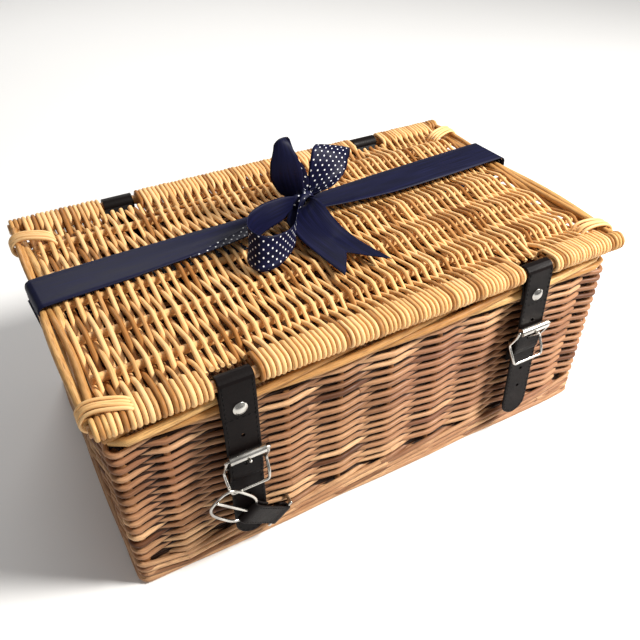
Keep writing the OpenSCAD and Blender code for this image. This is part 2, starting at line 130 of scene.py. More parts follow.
def make_willow_skin():
    g = bpy.data.node_groups.new("willow skin", "ShaderNodeTree")
    i, o = sockets(g, [("Along", "f", 0.0), ("Rim", "v", None), ("Tone", "f", 0.5), ("Pale", "c", None),
                       ("Middle", "c", None), ("Dark", "c", None), ("Streaks", "f", 0.5)],
                   [("Colour", "c"), ("Roughness", "f"), ("Height", "f")])
    L = g.links.new
    place = put(g, "ShaderNodeCombineXYZ")
    cut = put(g, "ShaderNodeSeparateXYZ")
    L(i.outputs["Rim"], cut.inputs[0])
    L(calc(g, "MULTIPLY_ADD", cut.outputs[0], 0.9, calc(g, "MULTIPLY", i.outputs["Tone"], 61.0)), place.inputs[0])
    L(calc(g, "MULTIPLY", cut.outputs[1], 0.9), place.inputs[1])
    L(calc(g, "MULTIPLY", i.outputs["Along"], 22.0), place.inputs[2])
    streak = put(g, "ShaderNodeTexNoise", {"Scale": 1.7, "Detail": 4.0, "Roughness": 0.6})
    L(place.outputs[0], streak.inputs["Vector"])
    fine = put(g, "ShaderNodeCombineXYZ")
    L(calc(g, "MULTIPLY", cut.outputs[0], 3.2), fine.inputs[0])
    L(calc(g, "MULTIPLY", cut.outputs[1], 3.2), fine.inputs[1])
    L(calc(g, "MULTIPLY_ADD", i.outputs["Along"], 60.0, calc(g, "MULTIPLY", i.outputs["Tone"], 40.0)),
      fine.inputs[2])
    grain = put(g, "ShaderNodeTexNoise", {"Scale": 2.2, "Detail": 3.0})
    L(fine.outputs[0], grain.inputs["Vector"])
    knots = put(g, "ShaderNodeTexVoronoi", {"Scale": 1.0})
    spot = put(g, "ShaderNodeCombineXYZ")
    L(calc(g, "MULTIPLY", cut.outputs[0], 0.8), spot.inputs[0])
    L(calc(g, "MULTIPLY_ADD", cut.outputs[1], 0.8, calc(g, "MULTIPLY", i.outputs["Tone"], 23.0)), spot.inputs[1])
    L(calc(g, "MULTIPLY", i.outputs["Along"], 30.0), spot.inputs[2])
    L(spot.outputs[0], knots.inputs["Vector"])
    lot = calc(g, "ADD", calc(g, "MULTIPLY", i.outputs["Tone"], 0.75), calc(g, "MULTIPLY", streak.outputs[0], 0.5))
    warm = mix(g, reach(g, lot, 0.2, 0.66), i.outputs["Dark"], i.outputs["Middle"])
    body = mix(g, reach(g, lot, 0.6, 1.05), warm, i.outputs["Pale"])
    thread = reach(g, grain.outputs[0], 0.42, 0.66)
    lined = mix(g, calc(g, "MULTIPLY", calc(g, "MULTIPLY", thread, i.outputs["Streaks"]), 0.5), body,
                i.outputs["Dark"])
    dot = reach(g, knots.outputs["Distance"], 0.05, 0.14, 0.55, 0.0)
    L(mix(g, dot, lined, (0.07, 0.03, 0.013, 1)), o.inputs["Colour"])
    L(reach(g, grain.outputs[0], 0.3, 0.7, 0.36, 0.62), o.inputs["Roughness"])
    L(calc(g, "SUBTRACT", calc(g, "ADD", calc(g, "MULTIPLY", grain.outputs[0], 0.5),
                               calc(g, "MULTIPLY", streak.outputs[0], 0.5)), calc(g, "MULTIPLY", dot, 0.6)),
      o.inputs["Height"])
    return g


def make_leather_grain():
    g = bpy.data.node_groups.new("leather grain", "ShaderNodeTree")
    i, o = sockets(g, [("Place", "v", None), ("Hide", "c", None), ("Rubbed", "c", None), ("Pebble", "f", 900.0)],
                   [("Colour", "c"), ("Roughness", "f"), ("Height", "f")])
    L = g.links.new
    pebble = put(g, "ShaderNodeTexVoronoi", feature="SMOOTH_F1")
    L(i.outputs["Place"], pebble.inputs["Vector"])
    L(i.outputs["Pebble"], pebble.inputs["Scale"])
    wear = put(g, "ShaderNodeTexNoise", {"Scale": 38.0, "Detail": 5.0})
    L(i.outputs["Place"], wear.inputs["Vector"])
    worn = reach(g, wear.outputs[0], 0.48, 0.75)
    L(mix(g, calc(g, "MULTIPLY", worn, 0.6), i.outputs["Hide"], i.outputs["Rubbed"]), o.inputs["Colour"])
    L(calc(g, "ADD", calc(g, "MULTIPLY", worn, -0.12),
           calc(g, "MULTIPLY_ADD", pebble.outputs["Distance"], 0.2, 0.42)),
      o.inputs["Roughness"])
    L(calc(g, "MULTIPLY_ADD", wear.outputs[0], 0.4, pebble.outputs["Distance"]), o.inputs["Height"])
    return g


WILLOW_SKIN, LEATHER_GRAIN = make_willow_skin(), make_leather_grain()


def blank(name):
    m = bpy.data.materials.new(name)
    m.use_nodes = True
    t = m.node_tree
    t.nodes.clear()
    out = put(t, "ShaderNodeOutputMaterial")
    skin = put(t, "ShaderNodeBsdfPrincipled")
    t.links.new(skin.outputs[0], out.inputs[0])
    return m, t, skin


def bumped(t, skin, height, strength, distance):
    b = put(t, "ShaderNodeBump", {"Strength": strength, "Distance": distance})
    t.links.new(height, b.inputs["Height"])
    t.links.new(b.outputs[0], skin.inputs["Normal"])


def willow(name, pale, middle, dark, streaks=0.6, stained=None):
    """Peeled willow on swept rods, which carry their length, rim place and tone."""
    m, t, skin = blank(name)
    g = put(t, "ShaderNodeGroup", node_tree=WILLOW_SKIN)
    for socket, attr, out in (("Along", "along", 2), ("Rim", "rim", 1), ("Tone", "tone", 2)):
        a = put(t, "ShaderNodeAttribute", attribute_name=attr)
        t.links.new(a.outputs[out], g.inputs[socket])
    for key, value in (("Pale", pale), ("Middle", middle), ("Dark", dark), ("Streaks", streaks)):
        g.inputs[key].default_value = value
    colour = g.outputs["Colour"]
    if stained:
        where = put(t, "ShaderNodeTexCoord")
        patch = put(t, "ShaderNodeTexNoise", {"Scale": 9.0, "Detail": 2.0})
        t.links.new(where.outputs["Object"], patch.inputs["Vector"])
        colour = mix(t, reach(t, patch.outputs[0], 0.45, 0.7, 0.0, 0.55), colour, stained)
    t.links.new(colour, skin.inputs["Base Color"])
    t.links.new(g.outputs["Roughness"], skin.inputs["Roughness"])
    skin.inputs["Specular IOR Level"].default_value = 0.22
    bumped(t, skin, g.outputs["Height"], 0.35, 0.0004)
    return m


def willow_stick(name, pale, middle, dark, axis):
    """Peeled willow on a straight stick that runs along one axis."""
    m, t, skin = blank(name)
    g = put(t, "ShaderNodeGroup", node_tree=WILLOW_SKIN)
    where = put(t, "ShaderNodeTexCoord")
    cut = put(t, "ShaderNodeSeparateXYZ")
    t.links.new(where.outputs["Object"], cut.inputs[0])
    across = [k for k in range(3) if k != axis]
    rim = put(t, "ShaderNodeCombineXYZ")
    t.links.new(calc(t, "MULTIPLY", cut.outputs[across[0]], 260.0), rim.inputs[0])
    t.links.new(calc(t, "MULTIPLY", cut.outputs[across[1]], 260.0), rim.inputs[1])
    t.links.new(rim.outputs[0], g.inputs["Rim"])
    t.links.new(cut.outputs[axis], g.inputs["Along"])
    for key, value in (("Tone", 0.55), ("Pale", pale), ("Middle", middle), ("Dark", dark), ("Streaks", 0.7)):
        g.inputs[key].default_value = value
    t.links.new(g.outputs["Colour"], skin.inputs["Base Color"])
    t.links.new(g.outputs["Roughness"], skin.inputs["Roughness"])
    bumped(t, skin, g.outputs["Height"], 0.3, 0.0004)
    return m


def leather(name, hide, rubbed, pebble=900.0, strength=0.35):
    m, t, skin = blank(name)
    g = put(t, "ShaderNodeGroup", {"Hide": hide, "Rubbed": rubbed, "Pebble": pebble}, node_tree=LEATHER_GRAIN)
    where = put(t, "ShaderNodeTexCoord")
    t.links.new(where.outputs["Object"], g.inputs["Place"])
    t.links.new(g.outputs["Colour"], skin.inputs["Base Color"])
    t.links.new(g.outputs["Roughness"], skin.inputs["Roughness"])
    skin.inputs["Specular IOR Level"].default_value = 0.09
    bumped(t, skin, g.outputs["Height"], strength, 0.0002)
    return m


def nickel(name):
    m, t, skin = blank(name)
    where = put(t, "ShaderNodeTexCoord")
    rub = put(t, "ShaderNodeTexNoise", {"Scale": 120.0, "Detail": 2.0})
    smear = put(t, "ShaderNodeTexNoise", {"Scale": 60.0, "Detail": 3.0})
    t.links.new(where.outputs["Object"], rub.inputs["Vector"])
    t.links.new(where.outputs["Object"], smear.inputs["Vector"])
    t.links.new(mix(t, reach(t, smear.outputs[0], 0.4, 0.7), (0.62, 0.6, 0.56, 1), (0.4, 0.385, 0.36, 1)),
                skin.inputs["Base Color"])
    t.links.new(reach(t, rub.outputs[0], 0.3, 0.75, 0.2, 0.3), skin.inputs["Roughness"])
    skin.inputs["Metallic"].default_value = 1.0
    bumped(t, skin, rub.outputs[0], 0.015, 0.0001)
    return m


def satin(name, cloth, painted_sheen, sheer):
    """Satin ribbon: a long-thread weave, with small woven dots where the strip says so."""
    m, t, skin = blank(name)
    uv = put(t, "ShaderNodeAttribute", attribute_name="lay")
    dotty = put(t, "ShaderNodeAttribute", attribute_name="dotty")
    cut = put(t, "ShaderNodeSeparateXYZ")
    t.links.new(uv.outputs["Vector"], cut.inputs[0])
    along, across = cut.outputs[0], cut.outputs[1]
    step = 0.0055
    marks = []
    for shift in (0.0, 0.5):
        a = calc(t, "SUBTRACT", calc(t, "FRACT", calc(t, "MULTIPLY_ADD", along, 1 / step / 1.35, shift)), 0.5)
        b = calc(t, "SUBTRACT", calc(t, "FRACT", calc(t, "MULTIPLY_ADD", across, 1 / step / 1.1, shift)), 0.5)
        marks.append(calc(t, "POWER", calc(t, "ADD", calc(t, "POWER", calc(t, "MULTIPLY", a, 1.35), 2.0),
                                           calc(t, "POWER", calc(t, "MULTIPLY", b, 1.1), 2.0)), 0.5))
    near = calc(t, "MINIMUM", marks[0], marks[1])
    inside = reach(t, calc(t, "ABSOLUTE", cut.outputs[2]), 0.9, 0.93, 1.0, 0.0)
    dot = reach(t, near, 0.095, 0.145, 1.0, 0.0)
    spot = calc(t, "MULTIPLY", calc(t, "MULTIPLY", dot, dotty.outputs["Fac"]), inside)
    thread = put(t, "ShaderNodeTexWave", {"Scale": 520.0, "Distortion": 1.2, "Detail": 2.0}, bands_direction="Y")
    t.links.new(uv.outputs["Vector"], thread.inputs["Vector"])
    fold = put(t, "ShaderNodeTexNoise", {"Scale": 26.0, "Detail": 3.0})
    t.links.new(uv.outputs["Vector"], fold.inputs["Vector"])
    # painted sheen: noise patches lighten the navy cloth towards a brighter navy, as light on satin folds; the real
    # weave's threads are lightened towards it too, a painted sheen on them
    plain = mix(t, reach(t, fold.outputs[0], 0.35, 0.7), cloth, painted_sheen)
    woven = mix(t, calc(t, "MULTIPLY", thread.outputs["Fac"], 0.16), plain, painted_sheen)
    t.links.new(mix(t, spot, woven, (0.82, 0.83, 0.86, 1)), skin.inputs["Base Color"])
    t.links.new(calc(t, "ADD", reach(t, fold.outputs[0], 0.3, 0.7, 0.42, 0.56), calc(t, "MULTIPLY", spot, 0.2)),
                skin.inputs["Roughness"])
    skin.inputs["Sheen Weight"].default_value = sheer
    skin.inputs["Sheen Roughness"].default_value = 0.35
    skin.inputs["Sheen Tint"].default_value = (0.4, 0.45, 0.7, 1)
    skin.inputs["Specular IOR Level"].default_value = 0.1
    skin.inputs["Anisotropic"].default_value = 0.5
    bumped(t, skin, thread.outputs["Fac"], 0.12, 0.00012)
    return m


# lit rods are straw yellow; the wall's rods are the same willow in painted shade, a darker, rosier tan
PALE, STRAW, AMBER = srgb(238, 196, 140), srgb(240, 192, 130), srgb(150, 98, 46)
# painted shade: the wall, foot and base rods get darker, rosier colours than the lit lid rods
SHADED_WALL_WILLOW = willow("wall willow painted shade", srgb(224, 180, 134), srgb(172, 126, 90), srgb(84, 50, 30), 0.9,
                     srgb(150, 102, 76))
LID_WILLOW = willow("lid willow", PALE, STRAW, AMBER, 0.6)
# painted shade: near-black willow for the rods hidden in the wall's middle, which make its gaps look dark
SHADE_ROD_WILLOW = willow("painted shade rod willow", srgb(84, 52, 32), srgb(60, 36, 22), srgb(38, 22, 14), 0.8)
ROD_WILLOW = willow("thick rod willow", srgb(226, 182, 118), srgb(190, 140, 82), srgb(122, 76, 38), 1.0)
STAKE_WILLOW = willow_stick("stake willow", srgb(190, 142, 96), srgb(150, 102, 62), srgb(88, 52, 30), 2)
LONG_STICK = willow_stick("long stick willow", srgb(228, 184, 126), srgb(196, 144, 88), srgb(130, 82, 44), 0)
DARK_LEATHER = leather("dark strap leather", srgb(14, 9, 9), srgb(25, 18, 17))
THREAD = leather("waxed thread", srgb(4, 3, 4), srgb(16, 13, 14), 2600.0, 0.5)
NICKEL = nickel("rubbed nickel")
# the second colour is a painted sheen, a brighter navy
NAVY = satin("navy satin", srgb(10, 11, 29), srgb(21, 23, 54), 0.03)


# ---------- swept rods ----------

def make_rod_tree():
    """Sweeps every line of a mesh into a round rod; the lines carry thick and tone."""
    g = bpy.data.node_groups.new("swept rods", "GeometryNodeTree")
    i, o = sockets(g, [("Rod lines", "g", None), ("Rod sides", "i", 8), ("Rod finish", "m", None)], [("Rods", "g")])
    L = g.links.new
    line = put(g, "GeometryNodeMeshToCurve")
    L(i.outputs["Rod lines"], line.inputs[0])
    far = put(g, "GeometryNodeSplineParameter")
    along = put(g, "GeometryNodeStoreNamedAttribute", {"Name": "along"}, data_type="FLOAT", domain="POINT")
    L(line.outputs[0], along.inputs[0])
    L(far.outputs["Length"], along.inputs["Value"])
    ring = put(g, "GeometryNodeCurvePrimitiveCircle", {"Radius": 1.0})
    L(i.outputs["Rod sides"], ring.inputs["Resolution"])
    spot = put(g, "GeometryNodeInputPosition")
    rim = put(g, "GeometryNodeStoreNamedAttribute", {"Name": "rim"}, data_type="FLOAT_VECTOR", domain="POINT")
    L(ring.outputs[0], rim.inputs[0])
    L(spot.outputs[0], rim.inputs["Value"])
    thick = put(g, "GeometryNodeInputNamedAttribute", {"Name": "thick"}, data_type="FLOAT")
    sweep = put(g, "GeometryNodeCurveToMesh", {"Fill Caps": True})
    L(along.outputs[0], sweep.inputs["Curve"])
    L(rim.outputs[0], sweep.inputs["Profile Curve"])
    L(thick.outputs[0], sweep.inputs["Scale"])
    smooth = put(g, "GeometryNodeSetShadeSmooth")
    L(sweep.outputs[0], smooth.inputs[0])
    real = put(g, "GeometryNodeRealizeInstances")
    L(smooth.outputs[0], real.inputs[0])
    finish = put(g, "GeometryNodeSetMaterial")
    L(real.outputs[0], finish.inputs[0])
    L(i.outputs["Rod finish"], finish.inputs["Material"])
    L(finish.outputs[0], o.inputs[0])
    return g


def make_stitch_tree():
    """Lays one short stitch after another along every line of a mesh."""
    g = bpy.data.node_groups.new("stitch row", "GeometryNodeTree")
    i, o = sockets(g, [("Seam lines", "g", None), ("Stitch step", "f", 0.0042), ("Stitch length", "f", 0.0029),
                       ("Thread thickness", "f", 0.0009), ("Thread finish", "m", None)], [("Stitches", "g")])
    L = g.links.new
    line = put(g, "GeometryNodeMeshToCurve")
    L(i.outputs["Seam lines"], line.inputs[0])
    dots = put(g, "GeometryNodeCurveToPoints", mode="LENGTH")
    L(line.outputs[0], dots.inputs[0])
    L(i.outputs["Stitch step"], dots.inputs["Length"])
    turn = put(g, "FunctionNodeAlignRotationToVector", axis="Z")
    L(dots.outputs["Tangent"], turn.inputs["Vector"])
    bead = put(g, "GeometryNodeMeshUVSphere", {"Segments": 6, "Rings": 4, "Radius": 0.5})
    size = put(g, "ShaderNodeCombineXYZ")
    L(i.outputs["Thread thickness"], size.inputs[0])
    L(i.outputs["Thread thickness"], size.inputs[1])
    L(i.outputs["Stitch length"], size.inputs[2])
    sow = put(g, "GeometryNodeInstanceOnPoints")
    L(dots.outputs[0], sow.inputs["Points"])
    L(bead.outputs[0], sow.inputs["Instance"])
    L(turn.outputs[0], sow.inputs["Rotation"])
    L(size.outputs[0], sow.inputs["Scale"])
    real = put(g, "GeometryNodeRealizeInstances")
    L(sow.outputs[0], real.inputs[0])
    smooth = put(g, "GeometryNodeSetShadeSmooth")
    L(real.outputs[0], smooth.inputs[0])
    finish = put(g, "GeometryNodeSetMaterial")
    L(smooth.outputs[0], finish.inputs[0])
    L(i.outputs["Thread finish"], finish.inputs["Material"])
    L(finish.outputs[0], o.inputs[0])
    return g


ROD_TREE, STITCH_TREE = make_rod_tree(), make_stitch_tree()


def made(name, mesh):
    piece = bpy.data.objects.new(name, mesh)
    scene.collection.objects.link(piece)
    return piece


def through_tree(name, mesh, tree, values):
    """Runs a mesh through a Geometry Nodes tree and keeps the result as a plain mesh."""
    raw = made(name + "_lines", mesh)
    mod = raw.modifiers.new("tree", "NODES")
    mod.node_group = tree
    for item in tree.interface.items_tree:
        if item.in_out == "INPUT" and item.name in values:
            mod[item.identifier] = values[item.name]
    ready = raw.evaluated_get(bpy.context.evaluated_depsgraph_get())
    result = bpy.data.meshes.new_from_object(ready)
    raw.modifiers.remove(mod)
    bpy.data.objects.remove(raw)
    return made(name, result)


def settle(piece, body, finish_slot, *nodes):
    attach(piece, body)
    if nodes:
        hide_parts(*nodes)
    return piece


def rods(name, lines, finish, sides=8):
    """lines: (points in mm, radius or radii in mm, tone, closed)."""
    verts, edges, thick, tone = [], [], [], []
    for points, radius, shade, closed in lines:
        n, start = len(points), len(verts)
        verts += [tuple(c * MM for c in p) for p in points]
        thick += [r * MM for r in (radius if hasattr(radius, "__len__") else [radius] * n)]
        tone += [shade] * n
        edges += [(start + k, start + k + 1) for k in range(n - 1)] + ([(start + n - 1, start)] if closed else [])
    mesh = bpy.data.meshes.new(name + "_lines")
    mesh.from_pydata(verts, edges, [])
    for label, values in (("thick", thick), ("tone", tone)):
        mesh.attributes.new(label, "FLOAT", "POINT").data.foreach_set("value", values)
    return through_tree(name, mesh, ROD_TREE, {"Rod sides": sides, "Rod finish": finish})


def wander(rng, size, waves=3):
    """A smooth random wobble over 0..1."""
    parts = [(rng.uniform(-1, 1) / (k + 1), rng.uniform(0, 6.28), k + 1) for k in range(waves)]
    return lambda t: size * sum(a * math.sin(6.283 * f * t + p) for a, p, f in parts)


def taper(n, butt, tip):
    return [butt + (tip - butt) * k / max(1, n - 1) for k in range(n)]


# ---------- woven walls ----------
# the ring of stakes, clockwise from the front left, as (x, y, way out x, way out y)
LONG_X, SHORT_Y = (-172, -129, -86, -43, 0, 43, 86, 129, 172), (-84, -42, 0, 42, 84)
WALL_X, WALL_Y, POST_X, POST_Y = 203, 119, 201, 117
D = math.sqrt(0.5)
RING = ([(x, -WALL_Y, 0, -1) for x in LONG_X] + [(POST_X, -POST_Y, D, -D)]
        + [(WALL_X, y, 1, 0) for y in SHORT_Y] + [(POST_X, POST_Y, D, D)]
        + [(x, WALL_Y, 0, 1) for x in reversed(LONG_X)] + [(-POST_X, POST_Y, -D, D)]
        + [(-WALL_X, y, -1, 0) for y in reversed(SHORT_Y)] + [(-POST_X, -POST_Y, -D, -D)])


def kink(t, a, b):
    """From one stake to the next: mostly straight, a little rounded."""
    s = 0.62 * t + 0.38 * (1 - math.cos(math.pi * t)) / 2
    return a + (b - a) * s


def ring_points(offsets, steps=(0.0, 0.12, 0.36, 0.64, 0.88)):
    """Points round the walls for one offset per stake; a corner post is wrapped outside or passed inside."""
    pts = []
    for k, (x, y, ox, oy) in enumerate(RING):
        off = offsets[k]
        nx, ny, px, py = RING[(k + 1) % len(RING)]
        corner, next_corner = abs(ox * oy) > 0.1, abs(px * py) > 0.1
        if corner:
            turn = math.atan2(oy, ox)
            reach_out = 6.1 if off > 0 else -6.3
            if off > 0:
                for a in (-0.9, -0.45, 0, 0.45, 0.9):
                    pts.append((x + 6.1 * math.cos(turn + a), y + 6.1 * math.sin(turn + a), k + a * 0.1))
            else:
                sx, sy = math.copysign(1, ox), math.copysign(1, oy)
                inner = (x + ox * reach_out, y + oy * reach_out)
                before = (x - sx * 13, y + sy * 0.2) if ox * oy < 0 else (x + sx * 0.2, y - sy * 13)
                after = (x + sx * 0.2, y - sy * 13) if ox * oy < 0 else (x - sx * 13, y + sy * 0.2)
                pts += [(before[0], before[1], k - 0.3), (inner[0], inner[1], k), (after[0], after[1], k + 0.3)]
            continue
        pts.append((x + ox * off, y + oy * off, k))
        if next_corner:
            t_end = 0.55 if offsets[(k + 1) % len(RING)] > 0 else 0.45
            for t in (0.3, t_end):
                o = kink(t, off, 4.5 if offsets[(k + 1) % len(RING)] > 0 else -2.5)
                pts.append((x + (nx - x) * t * (ox == 0) + ox * o, y + (ny - y) * t * (oy == 0) + oy * o, k + t))
        else:
            for t in steps[1:]:
                o = kink(t, off, offsets[(k + 1) % len(RING)])
                pts.append((x + (nx - x) * t + ox * o, y + (ny - y) * t + oy * o, k + t))
    return pts


def cut_course(rng, pts, z_of, radius, tone_of):
    """Cuts one closed course into rods of real length, each starting thick and ending thin."""
    total = len(pts)
    start, left, made_rods = rng.randrange(total), total, []
    while left > 0:
        n = min(left, rng.randint(70, 120))
        if left - n < 30:
            n = left
        run = [pts[(start + j) % total] for j in range(n + 2)]
        shift = rng.uniform(-0.25, 0.25)
        rod = [(x, y, z_of(k) + shift) for x, y, k in run]
        big = radius * rng.uniform(0.98, 1.08)
        made_rods.append((rod, taper(len(rod), big, big * rng.uniform(0.78, 0.9)), tone_of(), False))
        start, left = start + n, left - n
    return made_rods


def weave_walls():
    rng = random.Random(11)
    low, high, courses = 24.3, 141.7, 30
    pitch = (high - low) / courses
    lines = []
    for c in range(courses):
        offsets = [(4.15 if (k + c) % 2 == 0 else -3.9) * rng.uniform(0.93, 1.05) for k in range(len(RING))]
        drift = wander(rng, 0.45)
        base = low + pitch * (c + 0.5)
        z_of = lambda k: base + drift((k % len(RING)) / len(RING))
        lines += cut_course(rng, ring_points(offsets), z_of, pitch * 0.54,
                            lambda: min(1, max(0, rng.gauss(0.5, 0.27))))
    settle(rods("wall_randing", lines, SHADED_WALL_WILLOW), "basket", "willow_wall", "wall_weave")
    # a ring of dark rods in the middle of the wall at every course line: painted shade that keeps the gaps between
    # the rods dark from every side
    shade_rods = []
    for c in range(-3, courses + 1):
        z = low + pitch * c
        ring = [(px, py, z + 0.12 * math.sin(9 * t)) for t in np.linspace(0, 1, 96, endpoint=False)
                for px, py, *_ in (border_line(t, 203, 119, 5),)]
        shade_rods.append((ring, 1.5, rng.uniform(0, 0.25), True))
    settle(rods("wall_painted_shade_rods", shade_rods, SHADE_ROD_WILLOW, 6), "basket", "willow_wall")


def weave_foot():
    rng = random.Random(5)
    lines = []
    n = len(RING)
    for row, z0 in enumerate((7.0, 12.4, 18.0)):
        for strand in range(3):
            offsets, heights = [], []
            for k in range(n):
                phase = (k + strand + row) % 3
                offsets.append((-3.6, 5.0, 5.4)[phase] * rng.uniform(0.95, 1.04))
                heights.append(z0 + (0.0, -2.7, 2.7)[phase] + rng.uniform(-0.3, 0.3))
            pts = ring_points(offsets)
            z_of = lambda k: heights[int(math.floor(k)) % n] + (heights[(int(math.floor(k)) + 1) % n]
                                                               - heights[int(math.floor(k)) % n]) * (k % 1)
            lines += cut_course(rng, pts, z_of, 2.15, lambda: min(1, max(0, rng.gauss(0.5, 0.25))))
    drift = wander(rng, 0.5, 4)
    for off, r, z0 in ((5.3, 2.7, 2.9), (-3.2, 2.6, 2.8)):
        pts = ring_points([off * (1 if (k % 3) else 0.8) for k in range(n)])
        lines += cut_course(rng, pts, lambda k: z0 + abs(drift((k % n) / n)) * 0.5, r,
                            lambda: rng.uniform(0.3, 0.9))
    return settle(rods("foot_waling", lines, SHADED_WALL_WILLOW), "basket", "willow_wall", "foot_wale")


def twist_border():
    """Four long rods that lie side by side on the top of the wall and slowly change places."""
    rng = random.Random(23)
    lines = []
    n = 176
    for strand in range(4):
        pts = []
        for j in range(n):
            t = j / n
            # once round, with the corners turned on a small arc
            px, py, ox, oy, far = border_line(t)
            a = 2 * math.pi * (strand / 4 + far / 330.0)
            out = 1.2 + 5.9 * math.cos(a)
            up = 149.3 + 4.7 * math.sin(a)
            pts.append((px + ox * out, py + oy * out, up))
        r = rng.uniform(2.5, 3.1)
        tone = rng.uniform(0.35, 0.95)
        lines.append((pts, r, tone, True))
    return settle(rods("rim_border_rods", lines, ROD_WILLOW, 10), "basket", "willow_wall", "rim_border")


def border_line(t, hx=201.0, hy=117.0, r=7.0):
    """A point, the way out and the distance along the rounded wall line."""
    sides = ((2 * (hx - r), (1, 0), (-hx + r, -hy)), (math.pi * r / 2, None, (hx - r, -hy + r, -90)),
             (2 * (hy - r), (0, 1), (hx, -hy + r)), (math.pi * r / 2, None, (hx - r, hy - r, 0)),
             (2 * (hx - r), (-1, 0), (hx - r, hy)), (math.pi * r / 2, None, (-hx + r, hy - r, 90)),
             (2 * (hy - r), (0, -1), (-hx, hy - r)), (math.pi * r / 2, None, (-hx + r, -hy + r, 180)))
    total = sum(s[0] for s in sides)
    far = left = t * total
    for length, way, at in sides:
        if left <= length:
            if way:
                return at[0] + way[0] * left, at[1] + way[1] * left, way[1], -way[0], far
            a = math.radians(at[2] + 90 * left / length)
            return at[0] + r * math.cos(a), at[1] + r * math.sin(a), math.cos(a), math.sin(a), far
        left -= length
    return -hx + r, -hy, 0, -1, far


def weave_base():
    rng = random.Random(31)
    lines, sticks = [], (-78, -39, 0, 39, 78)
    count = 99
    for k in range(count):
        x = -198 + 396 * (k + 0.5) / count
        pts = []
        stops = [-113] + list(sticks) + [113]
        for j in range(len(stops) - 1):
            za = 5 + (2.9 if (j + k) % 2 else -2.9) * (0.3 if j == 0 else 1)
            zb = 5 + (2.9 if (j + 1 + k) % 2 else -2.9) * (0.3 if j == len(stops) - 2 else 1)
            for t in (0, 0.25, 0.5, 0.75):
                y = stops[j] + (stops[j + 1] - stops[j]) * t
                pts.append((x + rng.uniform(-0.12, 0.12), y, kink(t, za, zb)))
        pts.append((x, 113, zb))
        lines.append((pts, 2.2, min(1, max(0, rng.gauss(0.5, 0.25))), False))
    for y in sticks:
        run = [(-199, y, 5), (-60, y + 0.6, 5), (70, y - 0.5, 5), (199, y, 5)]
        lines.append((run, 3.0, rng.uniform(0.3, 0.7), False))
    return settle(rods("base_randing", lines, SHADED_WALL_WILLOW, 7), "basket", "willow_wall", "base_weave",
                  "base_sticks")


# ---------- woven lid ----------
LID_Z, EDGE_Y, STICK_GAP = 168.0, 124.0, 124.0 / 3
# radius of a weaving rod's turn round an edge stick, in mm
WRAP_R = 6.05
STRAP_X = 124.0
# side, name and how far below the lid's stick each buckle's centre bar hangs, in mm
CLOSURES = ((-1, "left", 74), (1, "right", 65))


def weave_lid():
    rng = random.Random(7)
    places, x = [], -200.6
    while x < 200.6:
        step = 3.95 - 0.75 * (x + 200) / 400
        places.append((x, step))
        x += step * rng.uniform(0.9, 1.1)
    lines = []
    for i, (x, step) in enumerate(places):
        r = step * rng.uniform(0.41, 0.53)
        sway, lean = wander(rng, 0.75, 3), rng.uniform(-0.5, 0.5)
        notched = [min(abs(x - STRAP_X), abs(x + STRAP_X)) < 14.6] * 2
        over = i % 2 == 0
        pts = []

        def at(y, z):
            t = (y + 132) / 264
            ease = min(1, max(0, (118 - abs(y)) / 25))
            pts.append((x + (sway(t) + lean) * ease, y, z))

        def round_stick(y, a):
            at(y + WRAP_R * math.cos(math.radians(a)), LID_Z + WRAP_R * math.sin(math.radians(a)))

        # front edge: round the stick, or tucked in where a strap passes
        if notched[0]:
            at(-110.4, LID_Z + (1.5 if over else -1.5))
        elif over:
            for y, z in ((-109, -5.2), (-117, -5.9)):
                at(y, LID_Z + z)
            for a in range(245, 89, -22):
                round_stick(-EDGE_Y, a)
            at(-115, LID_Z + 5.7)
            at(-104, LID_Z + 3.4)
        else:
            at(-107.5, LID_Z - 0.6)
            at(-110.4, LID_Z + 3.4)
            at(-113, LID_Z + 5.2)
            for a in range(85, 272, 22):
                round_stick(-EDGE_Y, a)
            at(-116, LID_Z - 5.9)
            at(-100, LID_Z - 5.0)
        # over and under the sticks between the edges
        for j in range(1, 6):
            side = 1 if (i + j) % 2 == 0 else -1
            y0 = -EDGE_Y + STICK_GAP * j
            ups = 5.0 * rng.uniform(0.92, 1.06)
            at(y0 - 4, LID_Z + side * ups * 0.86)
            at(y0, LID_Z + side * ups)
            at(y0 + 4, LID_Z + side * ups * 0.86)
            if j < 5:
                at(y0 + STICK_GAP / 2, LID_Z)
        if notched[1]:
            at(110.4, LID_Z + (1.5 if over else -1.5))
        elif over:
            at(104, LID_Z + 3.4)
            at(115, LID_Z + 5.7)
            for a in range(90, -66, -22):
                round_stick(EDGE_Y, a)
            at(117, LID_Z - 5.9)
            at(109, LID_Z - 5.2)
        else:
            at(100, LID_Z - 5.0)
            at(116, LID_Z - 5.9)
            for a in range(-88, 96, 22):
                round_stick(EDGE_Y, a)
            at(113, LID_Z + 5.2)
            at(110.4, LID_Z + 3.4)
            at(107.5, LID_Z - 0.6)
        butt = rng.random() < 0.5
        radii = taper(len(pts), r * 1.04, r * 0.93)
        lines.append((pts, radii if butt else radii[::-1], min(1, max(0, rng.gauss(0.52, 0.3))), False))
    settle(rods("lid_randing", lines, LID_WILLOW), "lid", "willow_lid", "lid_weave")
    rng = random.Random(8)
    bars = []
    for j in range(1, 6):
        y = -EDGE_Y + STICK_GAP * j
        bow = wander(rng, 0.5, 2)
        bars.append(([(-201 + 402 * k / 24, y + bow(k / 24), LID_Z + bow(1 - k / 24) * 0.4) for k in range(25)],
                     taper(25, 3.3, 2.9), rng.uniform(0.4, 0.8), False))
    settle(rods("lid_stick_rods", bars, LID_WILLOW, 10), "lid", "willow_rods", "lid_sticks")


